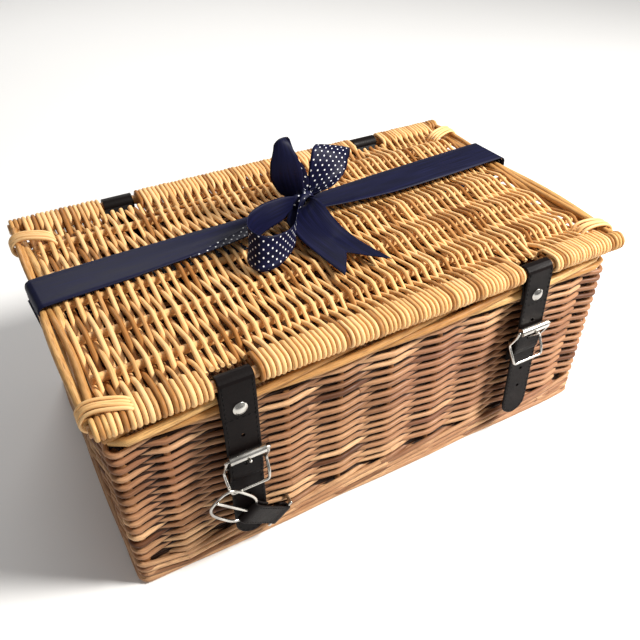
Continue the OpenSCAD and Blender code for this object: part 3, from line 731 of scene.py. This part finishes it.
def lay_end_rods():
    """Loose thick rods that run down each end of the lid, crossing one another."""
    for side, name in ((-1, "left"), (1, "right")):
        rng = random.Random(41 + side)
        lines = []
        plan = ((212.0, 3.2, 2.4, 0.0, 121), (206.2, 3.1, 2.6, 1.9, 120), (209.3, 2.5, 3.6, 3.6, 117))
        for k, (x0, r, swing, turn, half) in enumerate(plan):
            pts = []
            for j in range(31):
                t = j / 30
                y = -half + 2 * half * t
                hold = math.sin(math.pi * t) ** 0.5 if 0 < t < 1 else 0
                pts.append((side * (x0 + swing * math.sin(5.2 * t + turn) * (0.35 + 0.65 * hold)), y,
                            LID_Z + (0.6, -0.8, 3.0)[k] + (1.6, 1.8, 2.4)[k] * math.sin(6.6 * t + turn * 2) * hold))
            lines.append((pts, taper(31, r * 1.05, r * 0.9), rng.uniform(0.45, 0.9), False))
        for y, x in [(sy * EDGE_Y, x) for sy in (-1, 1) for x in (203.6, 207.0, 210.4)]:
            r = rng.uniform(1.65, 1.8)
            turn = [(side * (x + 0.25 * math.sin(a)), y + 5.9 * math.cos(a), LID_Z + 5.9 * math.sin(a))
                    for a in np.linspace(0, 2 * math.pi, 20, endpoint=False)]
            lines.append((turn, r, rng.uniform(0.3, 0.9), True))
        settle(rods("end_rods_" + name, lines, ROD_WILLOW, 10), "lid", "willow_rods", "lid_end_rods_" + name)


def bind_corners():
    """Four strands side by side that tie each end of the lid to its end rods."""
    spots = (("front_left", -1, -121.5, -111.5), ("front_right", 1, -104.5, -108.5),
             ("back_left", -1, 84.0, 97.0), ("back_right", 1, 90.0, 99.0))
    for name, side, y_in, y_out in spots:
        rng = random.Random(sum(map(ord, name)))
        lines = []
        for k in (-1.5, -0.5, 0.5, 1.5):
            r = rng.uniform(1.2, 1.45)
            spread, close = 3.3 * k + rng.uniform(-0.7, 0.7), 2.9 * k + rng.uniform(-0.4, 0.4)
            path = [(184, 0, 169.5), (186, 0.05, 174.2), (190, 0.15, 176.9), (198, 0.4, 178.0), (207, 0.75, 177.2),
                    (213.5, 0.95, 174.2), (216.7, 1, 168.5), (214.6, 1, 162.6), (208, 0.9, 159.6), (198, 0.5, 159.0),
                    (190, 0.2, 160.2)]
            bulge = rng.uniform(-0.5, 0.5)
            pts = [(side * x, y_in + (y_out - y_in) * t + spread * (1 - t) + close * t + bulge * math.sin(3 * t),
                    z - 0.6 + (0.6 if k in (-0.5, 1.5) else 0)) for x, t, z in path]
            lines.append((rounded(pts, 3), r, rng.uniform(0.55, 0.95), False))
        settle(rods("binding_strands_" + name, lines, LID_WILLOW, 8), "lid", "willow_rods", "binding_" + name)


def rounded(points, steps=4, closed=False):
    """A smooth line through the points."""
    p = [np.array(q, float) for q in points]
    n = len(p)
    out = []
    for k in range(n if closed else n - 1):
        a, b, c, d = ((p[(k + s) % n] for s in (-1, 0, 1, 2)) if closed else
                      (p[max(k - 1, 0)], p[k], p[k + 1], p[min(k + 2, n - 1)]))
        for s in range(steps):
            t = s / steps
            out.append(0.5 * (2 * b + (c - a) * t + (2 * a - 5 * b + 4 * c - d) * t * t
                              + (3 * b - a - 3 * c + d) * t ** 3))
    if not closed:
        out.append(p[-1])
    return [tuple(q) for q in out]


# ---------- leather ----------

def strip(name, middle, wide, widths, thick, finish, cap=0.35):
    """A strap of even thickness along a line: middle points, the way across it, and its widths, in mm."""
    mid = [Vector(p) for p in middle]
    n = len(mid)
    across = Vector(wide).normalized()
    verts, faces = [], []
    for k in range(n):
        ahead = (mid[min(k + 1, n - 1)] - mid[max(k - 1, 0)]).normalized()
        off = across.cross(ahead).normalized()
        w, h = widths[k] / 2, thick / 2
        b = min(cap * thick, w * 0.9)
        for s, u in ((-w, h - b), (-w + b, h), (w - b, h), (w, h - b),
                     (w, b - h), (w - b, -h), (b - w, -h), (-w, b - h)):
            verts.append((mid[k] + across * s + off * u) * MM)
    for k in range(n - 1):
        for j in range(8):
            a, b2 = 8 * k + j, 8 * k + (j + 1) % 8
            faces.append((a, b2, b2 + 8, a + 8))
    faces += [tuple(range(7, -1, -1)), tuple(range(8 * n - 8, 8 * n))]
    mesh = bpy.data.meshes.new(name)
    mesh.from_pydata(verts, [], faces)
    mesh.materials.append(finish)
    turn_out(mesh)
    return made(name, mesh)


def turn_out(mesh):
    b = bmesh.new()
    b.from_mesh(mesh)
    bmesh.ops.remove_doubles(b, verts=b.verts, dist=1e-7)
    bmesh.ops.recalc_face_normals(b, faces=b.faces)
    b.to_mesh(mesh)
    b.free()


def punch(piece, pins):
    """Punches round holes: pins are (centre, direction, radius), in mm."""
    for centre, way, r in pins:
        b = bmesh.new()
        bmesh.ops.create_cone(b, cap_ends=True, segments=20, radius1=r * MM, radius2=r * MM, depth=0.02)
        turn = Vector((0, 0, 1)).rotation_difference(Vector(way)).to_matrix().to_4x4()
        turn.translation = Vector(centre) * MM
        bmesh.ops.transform(b, matrix=turn, verts=b.verts)
        mesh = bpy.data.meshes.new("punch")
        b.to_mesh(mesh)
        b.free()
        tool = made("punch", mesh)
        mod = piece.modifiers.new("punch", "BOOLEAN")
        mod.operation, mod.solver, mod.object = "DIFFERENCE", "EXACT", tool
        ready = piece.evaluated_get(bpy.context.evaluated_depsgraph_get())
        result = bpy.data.meshes.new_from_object(ready)
        piece.modifiers.clear()
        piece.data = result
        bpy.data.objects.remove(tool)


def stitches(name, rows, step=4.0, length=2.8, thickness=0.8):
    verts, edges = [], []
    for row in rows:
        start = len(verts)
        verts += [tuple(c * MM for c in p) for p in row]
        edges += [(start + k, start + k + 1) for k in range(len(row) - 1)]
    mesh = bpy.data.meshes.new(name + "_seam")
    mesh.from_pydata(verts, edges, [])
    return through_tree(name, mesh, STITCH_TREE, {"Stitch step": step * MM, "Stitch length": length * MM,
                                                  "Thread thickness": thickness * MM, "Thread finish": THREAD})


LEAN = math.radians(3)
# half the gap between a strap's two rows of stitches, in mm
STITCH_IN = 10.4


def hang(x, v, s):
    """A point on a hanging strap: v out from the wall, s down from the lid's front stick."""
    return (x, -(EDGE_Y + v * math.cos(LEAN) + s * math.sin(LEAN)),
            LID_Z - s * math.cos(LEAN) + v * math.sin(LEAN))


def cut_straps():
    for side, name, drop in CLOSURES:
        x = side * STRAP_X
        # below the centre bar the strap lies flatter, so the buckle's keeper end has room to swing
        lay = lambda s: 5.4 - 1.9 * min(1.0, max(0.0, (s - drop - 3) / 8)) ** 2
        spine = [(3.1, 26), (3.1, 20), (3.0, 14), (1.6, 9.4), (-1.9, 6.2)]
        spine += [(5.4 * math.cos(a), -5.4 * math.sin(a)) for a in np.radians(range(215, -1, -18))]
        spine += [(lay(s), s) for s in (6, 12, 24, 40, 56, drop + 2, drop + 5, drop + 8, drop + 11, drop + 17,
                                        108, 120, 131)]
        tip = np.radians((15, 30, 45, 57, 68, 77, 84, 88.5))
        spine += [(lay(131), 131.5 + 12.5 * math.sin(a)) for a in tip]
        wide = [25.0] * (len(spine) - len(tip)) + [25 * max(0.06, math.cos(a)) for a in tip]
        piece = strip("strap_leather_" + name, [hang(x, v, s) for v, s in spine], (1, 0, 0), wide, 2.2,
                      DARK_LEATHER)
        out = Vector(hang(0, 1, 0)) - Vector(hang(0, 0, 0))
        punch(piece, [(hang(x, 5.4, s), out, r) for s, r in ((43, 1.5), (drop - 4.6, 1.7), (drop + 29, 1.5))
                      + ((drop + 48, 1.5),) if s < 136])
        settle(piece, "strap_" + name, "strap_leather", "lid_strap_" + name)
        rows = []
        for e in (-1, 1):
            rows.append([hang(x + e * STITCH_IN, lay(s) + 1.1, s)
                         for s in (-0.5, 30, 56, drop + 3, drop + 7, drop + 11, 108, 131)])
        rows.append([hang(x - STITCH_IN * math.cos(a), lay(131) + 1.1, 131.5 + 10.2 * math.sin(a))
                     for a in np.linspace(0, math.pi, 13)])
        rows.append([hang(x - STITCH_IN + 2 * STITCH_IN * k / 4, 6.5, 27) for k in range(5)])
        settle(stitches("strap_stitches_" + name, rows), "strap_" + name, "strap_leather")


def ribbon(name, centre, across, widths, finish=NAVY, cup=None, dotty=(0, 1), flip_u=0.0, thick=0.45,
           steps=4, lanes=8, closed=False, notch=0.0):
    """A satin strip: centre line, the way across at each point, widths, and how it cups.
    dotty is for its two faces."""
    c = np.array(rounded(centre, steps, closed))
    w = np.array(rounded(across, steps, closed))
    w /= np.linalg.norm(w, axis=1)[:, None]
    n = len(c)
    base = np.linspace(0, len(centre) - (0 if closed else 1), n, endpoint=not closed)
    wide = np.interp(base, range(len(widths)), widths)
    if closed:
        ahead = np.roll(c, -1, 0) - np.roll(c, 1, 0)
    else:
        ahead = np.gradient(c, axis=0)
    ahead /= np.linalg.norm(ahead, axis=1)[:, None]
    off = np.cross(w, ahead)
    off /= np.linalg.norm(off, axis=1)[:, None]
    far = np.concatenate([[0], np.cumsum(np.linalg.norm(np.diff(c, axis=0), axis=1))])
    verts, lay, dots = [], [], []
    for face, sign in ((0, 1), (1, -1)):
        for k in range(n):
            for j in range(lanes + 1):
                v = j / lanes * 2 - 1
                lift = cup(base[k] / max(1, len(centre) - 1), v) if cup else 0.0
                # a notched end: the middle lanes of the strip stop short
                u = far[k] * (1 - notch * (1 - abs(v)) / far[-1])
                at, way, out = ([np.interp(u, far, q[:, m]) for m in range(3)] for q in (c, w, off))
                p = (np.array(at) + np.array(way) * v * np.interp(u, far, wide) / 2
                     + np.array(out) * (lift + sign * thick / 2))
                verts.append(tuple(p * MM))
                lay.append(((u + flip_u) * MM, v * wide[k] / 2 * MM, v))
                dots.append(float(dotty[face]))
    row, sheet = lanes + 1, n * (lanes + 1)
    faces = []
    for k in range(n if closed else n - 1):
        k2 = (k + 1) % n
        for j in range(lanes):
            a, b, d, e = k * row + j, k * row + j + 1, k2 * row + j, k2 * row + j + 1
            faces += [(a, b, e, d), (sheet + a, sheet + d, sheet + e, sheet + b)]
        for j in (0, lanes):
            a, d = k * row + j, k2 * row + j
            faces.append((a, d, sheet + d, sheet + a) if j == 0 else (a, sheet + a, sheet + d, d))
    if not closed:
        for k in (0, n - 1):
            for j in range(lanes):
                a, b = k * row + j, k * row + j + 1
                faces.append((a, sheet + a, sheet + b, b) if k == 0 else (a, b, sheet + b, sheet + a))
    mesh = bpy.data.meshes.new(name)
    mesh.from_pydata(verts, [], faces)
    mesh.attributes.new("lay", "FLOAT_VECTOR", "POINT").data.foreach_set("vector", [q for p in lay for q in p])
    mesh.attributes.new("dotty", "FLOAT", "POINT").data.foreach_set("value", dots)
    mesh.materials.append(finish)
    mesh.update()
    b = bmesh.new()
    b.from_mesh(mesh)
    bmesh.ops.recalc_face_normals(b, faces=b.faces)
    b.to_mesh(mesh)
    b.free()
    mesh.shade_smooth()
    piece = made(name, mesh)
    return piece


def tie_ribbon():
    y0, tilt = 26.0, math.radians(3.6)

    def on_lid(x, y=0.0, z=176.6):
        return (x * math.cos(tilt) - y * math.sin(tilt), y0 + x * math.sin(tilt) + y * math.cos(tilt), z)

    low, end = 159.0, 217.4
    route = [on_lid(0, -1, 181.5), on_lid(40, 0, 178.9), on_lid(90, 0, 177.3), on_lid(150, 0, 176.9),
             on_lid(205, 0, 176.9), on_lid(214.5, 0, 176.2), on_lid(end, 0, 172.5), on_lid(end, 0, 166),
             on_lid(end - 0.5, 0, 161.5), on_lid(212, 0, 159.4), on_lid(150, 0, low), on_lid(0, 0, low - 0.1),
             on_lid(-150, 0, low), on_lid(-212, 0, 159.4), on_lid(-end + 0.5, 0, 161.5), on_lid(-end, 0, 166),
             on_lid(-end, 0, 172.5), on_lid(-214.5, 0, 176.2), on_lid(-205, 0, 176.9), on_lid(-150, 0, 176.9),
             on_lid(-90, 0, 177.3), on_lid(-40, 0, 179.3)]
    side = (-math.sin(tilt), math.cos(tilt), 0)
    widths = [17, 27, 35, 37] + [37] * 15 + [36, 30, 19]

    def cup(t, v):
        near = max(0.0, 1 - min(t, 1 - t) / 0.13)
        return 0.25 + near * (1.9 * (1 - v * v) + 0.7 * math.sin(5 * v + 1.5))

    band = ribbon("ribbon_round_lid", route, [side] * len(route), widths, cup=cup, dotty=(1, 0),
                  closed=True, steps=5)
    settle(band, "lid", "satin_ribbon", "ribbon_band")
    # its front edge turns over towards the knot and shows the dotted face
    turned = [(-104, -17.6, 178.0, 1.5), (-88, -15.6, 178.3, 5), (-70, -12.8, 178.7, 9.5), (-52, -9.6, 179.3, 13.5),
              (-36, -6.2, 180.4, 16), (-22, -3.2, 182.2, 16), (-11, -1.8, 183.6, 12)]
    fold = ribbon("ribbon_turned_edge", [on_lid(x, y, z) for x, y, z, w in turned], [side] * 7,
                  [w for *_, w in turned], dotty=(1, 1), steps=5, cup=lambda t, v: 0.9 * (1 - v * v))
    settle(fold, "lid", "satin_ribbon")


def tie_bow():
    kx, ky, kz = 0.2, 23.0, 187.5

    def loop(name, path, across, widths, dotty, node, cup=None, flip=0.0):
        piece = ribbon(name, [(kx + a, ky + b, kz + c) for a, b, c in path], across, widths, cup=cup, dotty=dotty,
                       flip_u=flip, steps=6, lanes=12)
        return settle(piece, "lid", "satin_ribbon", node)

    # knot: one gathered turn of ribbon
    ring = [(9.4 * math.cos(a), 0, 8.6 * math.sin(a)) for a in np.linspace(0, 2 * math.pi, 12, endpoint=False)]
    turn = math.radians(25)
    wrap = [(kx + p[0] * math.cos(turn), ky + p[0] * math.sin(turn), kz - 1.0 + p[2]) for p in ring]
    knot = ribbon("bow_knot_wrap", wrap, [(-math.sin(turn), math.cos(turn), 0)] * 12, [19] * 12,
                  closed=True, steps=4, lanes=16, thick=0.5, dotty=(1, 1),
                  cup=lambda t, v: 1.5 * (1 - v * v) + 0.8 * math.sin(9 * v + 4 * t))
    settle(knot, "lid", "satin_ribbon", "bow_knot")

    # tall left loop, plain outside, its broad side to the front
    loop("bow_loop_tall", [(-3, -1, 3), (-9, -3, 14), (-13, -4, 27), (-14, -2, 40), (-13.5, 4, 52.5), (-10, 10, 46),
                           (-7, 12, 33), (-4, 9, 18), (-2, 3, 5)],
         [(0.9, -0.4, 0.2), (0.93, -0.35, 0.12), (0.95, -0.3, 0.1), (0.95, -0.3, 0.2), (0.95, -0.1, 0.3),
          (0.9, 0.2, 0.35), (0.9, 0.1, 0.25), (0.9, 0, 0.2), (0.9, -0.2, 0.2)],
         [8, 21, 26, 22, 9, 18, 21, 17, 8], (0, 1), "bow_loop_left",
         cup=lambda t, v: 1.6 * (1 - v * v) * math.sin(3.14 * t))
    # right loop, dots outside, folded over at the top
    loop("bow_loop_wide", [(7, 1, 0), (20, 2, 1), (28, 7, 10), (34, 12, 20), (39, 18, 27), (46, 25, 27), (47, 26, 19),
                           (38, 20, 9), (22, 11, 3), (8, 5, 1)],
         [(0.3, -0.5, 0.8), (0.7, -0.45, 0.5), (0.93, -0.2, 0.05), (0.95, -0.05, -0.25), (0.94, 0.02, -0.33),
          (0.93, 0.1, -0.33), (0.9, 0.1, -0.3), (0.9, 0, -0.1), (0.7, -0.3, 0.3), (0.3, -0.5, 0.8)],
         [9, 21, 31, 36, 37, 37, 35, 31, 21, 9], (1, 0), "bow_loop_right",
         cup=lambda t, v: 0.8 * (1 - v * v))
    # low loop towards the front left, standing on its edge with its top leaning back
    lean = [(0.1, 0.1, 0.98)] + [(0.25, 0.45, 0.85)] * 7 + [(0.1, 0.2, 0.95), (0, -0.2, 0.95)]
    loop("bow_loop_low_turn", [(-5, -4, 2), (-22, -11, 3.5), (-41, -17, 3.5), (-56, -26, 2.5), (-65, -42, 1.6),
                               (-62, -57, 1.4), (-47, -58, 0.6), (-28, -44, -1.5), (-12, -20, -2), (-3, -6, 0)],
         lean, [9, 19, 23, 25, 27, 27, 23, 17, 12, 8], (0, 1), "bow_loop_low",
         cup=lambda t, v: 1.2 * math.sin(3.1 * t) * (1 - v * v))
    # front tail with a swallow-tail cut
    tail = ribbon("bow_tail_swallow", [(kx, ky - 5, kz + 1.5), (kx - 4, ky - 13, kz + 2.5),
                                       (kx - 6.5, ky - 24, kz + 1), (kx - 4, ky - 42, kz - 5.5),
                                       (kx + 0.5, ky - 62, kz - 9), (kx + 4, ky - 80, kz - 9.4),
                                       (kx + 7, ky - 96, kz - 9.4)],
                  [(1, -0.15, 0.35), (1, -0.1, 0.3), (1, 0, 0.15), (1, 0.04, 0.03), (1, 0.05, 0), (1, 0.05, 0),
                   (1, 0.05, 0)],
                  [11, 26, 34, 36, 37, 39, 42], dotty=(1, 0), steps=6, lanes=14, notch=25,
                  cup=lambda t, v: 3.4 * (1 - t) ** 1.5 * (1 - v * v) - 0.8 * (1 - t) * v)
    settle(tail, "lid", "satin_ribbon", "bow_tail_front")
    # short upright end behind the knot
    loop("bow_tail_upright", [(3, 4, 2), (4, 7, 12), (1, 10, 22), (-2, 12, 28)],
         [(1, -0.3, 0), (1, -0.3, 0), (1, -0.3, 0.1), (1, -0.3, 0.3)], [10, 16, 18, 15], (1, 0), "bow_tail_back")


# ---------- metal ----------

def dome_rivets():
    for side, name, _ in CLOSURES:
        x = side * STRAP_X
        profile = [(0, 2.55), (1.4, 2.45), (2.8, 2.0), (3.9, 1.25), (4.6, 0.55), (5.0, 0.45), (5.2, 0.15),
                   (5.15, -0.15), (2.0, -0.2), (2.0, -3.0), (0, -3.0)]
        out = Vector(hang(0, 1, 0)) - Vector(hang(0, 0, 0))
        piece = spun("rivet_dome_" + name, profile, hang(x, 6.75, 19), out, NICKEL)
        settle(piece, "strap_" + name, "nickel", "strap_rivet_" + name)


def spun(name, profile, centre, way, finish, sides=28):
    """A turned piece from (radius, height) pairs, on an axis, in mm."""
    turn = Vector((0, 0, 1)).rotation_difference(Vector(way)).to_matrix()
    verts, faces = [], []
    for r, h in profile:
        for k in range(sides):
            a = 2 * math.pi * k / sides
            verts.append((turn @ Vector((r * math.cos(a), r * math.sin(a), h)) + Vector(centre)) * MM)
    for j in range(len(profile) - 1):
        for k in range(sides):
            k2 = (k + 1) % sides
            faces.append((j * sides + k, j * sides + k2, (j + 1) * sides + k2, (j + 1) * sides + k))
    mesh = bpy.data.meshes.new(name)
    mesh.from_pydata(verts, [], faces)
    mesh.materials.append(finish)
    turn_out(mesh)
    mesh.shade_smooth()
    return made(name, mesh)


def bend_frames():
    """Wire buckle frames with rounded corners and a centre bar."""
    for side, name, drop in CLOSURES:
        x = side * STRAP_X
        half = [(13.6, 10.1, -16), (15.0, 9.9, -14.6), (15.7, 8.6, -10.5), (15.9, 5.8, -5), (15.8, 3.4, 0),
                (15.6, 5.2, 5), (15.2, 7.9, 10), (14.4, 9.2, 14.2), (12.6, 9.5, 16), (8, 9.5, 16.1)]
        loop = half + [(-a, v, s) for a, v, s in reversed(half)]
        ring = rounded([hang(x + a, v, drop + s) for a, v, s in loop], 6, True)
        bar = rounded([hang(x + a, v, drop) for a, v in ((-15.6, 3.2), (-14.4, 1.4), (-12.6, 0.75), (0, 0.75),
                                                         (12.6, 0.75), (14.4, 1.4), (15.6, 3.2))], 4)
        piece = rods("buckle_wire_" + name, [(ring, 1.1, 0.5, True), (bar, 1.15, 0.5, False)], NICKEL, 12)
        settle(piece, "buckle_" + name, "nickel", "buckle_frame_" + name)
    across, down, middle = Vector((0.766, 0, 0.643)), Vector((-0.643, 0, 0.766)), Vector((-127.64, -140.45, 54.94))
    oval = []
    for k in range(48):
        a = 2 * math.pi * k / 48
        u = 12.4 * math.copysign(abs(math.cos(a)) ** 0.62, math.cos(a))
        t = 17 + 17 * math.copysign(abs(math.sin(a)) ** 0.62, math.sin(a))
        oval.append(tuple(middle + across * u + down * t))
    settle(rods("loose_buckle_wire", [(oval, 1.1, 0.5, True)], NICKEL, 12), "loose_buckle", "nickel",
           "loose_buckle_frame")
    spot = lambda u, t, n: tuple(middle + across * u + down * t + Vector((0, -n, 0)))
    run = rounded([(-15, -4.6, 0), (-8, -2.9, 0), (-2, -2.5, 0), (1.4, -2.0, 0), (2.45, 0, 0), (1.4, 2.0, 0),
                   (-2, 2.3, 0), (-9, 0.8, 0), (-22, -2.6, 0), (-36, -6.2, 0), (-42.5, -7.2, 0), (-45.4, -9.3, 0),
                   (-43.4, -11.8, 0), (-39, -11.3, 0), (-33, -9.4, 0)], 3)
    wide = [18.0] * (len(run) - 1) + [16.5]
    piece = strip("loose_strap_leather", [spot(0, t, n) for t, n, _ in run], across, wide, 1.7, DARK_LEATHER)
    settle(piece, "loose_strap", "strap_leather", "loose_strap")
    rows = [[spot(u, t, n + 0.95) for t, n in ((-4, 2.0), (-12, 0.0), (-24, -3.1), (-36, -6.2))]
            for u in (-7.2, 7.2)]
    settle(stitches("loose_strap_stitches", rows, 3.6, 2.5, 0.7), "loose_strap", "strap_leather")


# ---------- carried-over pieces ----------

def dress(node, finish):
    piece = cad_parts[node]
    piece.data.materials.clear()
    piece.data.materials.append(finish)


weave_walls()
weave_foot()
weave_base()
twist_border()
weave_lid()
lay_end_rods()
bind_corners()
cut_straps()
dome_rivets()
bend_frames()
tie_bow()
tie_ribbon()

for n in ("wall_stakes", "corner_posts"):
    dress(n, STAKE_WILLOW)
for n in ("lid_front_stick", "lid_back_stick"):
    dress(n, LONG_STICK)
for n in ("hinge_strap_left", "hinge_strap_right", "buckle_chape_left", "buckle_chape_right"):
    dress(n, DARK_LEATHER)
for n in ("hinge_rivets", "chape_rivets", "buckle_roller_left", "buckle_roller_right", "buckle_prong_left",
          "buckle_prong_right", "loose_anchor", "loose_buckle_prong"):
    dress(n, NICKEL)


# ---------- floor and light ----------

def pale_floor():
    mesh = bpy.data.meshes.new("floor")
    mesh.from_pydata([(-30, -30, 0), (30, -30, 0), (30, 30, 0), (-30, 30, 0)], [], [(0, 1, 2, 3)])
    m, t, skin = blank("pale floor")
    where = put(t, "ShaderNodeTexCoord")
    cloud = put(t, "ShaderNodeTexNoise", {"Scale": 3.0})
    t.links.new(where.outputs["Object"], cloud.inputs["Vector"])
    t.links.new(mix(t, cloud.outputs[0], (0.84, 0.84, 0.84, 1), (0.87, 0.87, 0.87, 1)), skin.inputs["Base Color"])
    skin.inputs["Roughness"].default_value = 0.8
    mesh.materials.append(m)
    made("floor", mesh)


def lamp(name, place, aim, size, power, colour):
    light = bpy.data.lights.new(name, "AREA")
    light.shape, light.size, light.energy, light.color = "DISK", size, power, colour
    holder = bpy.data.objects.new(name, light)
    holder.location = place
    holder.rotation_euler = (Vector(aim) - Vector(place)).to_track_quat("-Z", "Y").to_euler()
    scene.collection.objects.link(holder)


pale_floor()
lamp("key", (0.85, -0.62, 1.15), (0, 0, 0.1), 0.4, 42, (1.0, 0.975, 0.93))
lamp("fill", (-1.2, -1.0, 0.9), (0, 0, 0.1), 1.3, 0.8, (0.95, 0.97, 1.0))
lamp("back", (0.1, 1.4, 1.3), (0, 0, 0.15), 1.1, 13, (1.0, 0.98, 0.95))
world = bpy.data.worlds.new("studio")
world.use_nodes = True
world.node_tree.nodes["Background"].inputs[0].default_value = (1.0, 0.99, 0.98, 1)
world.node_tree.nodes["Background"].inputs[1].default_value = 0.24
scene.world = world
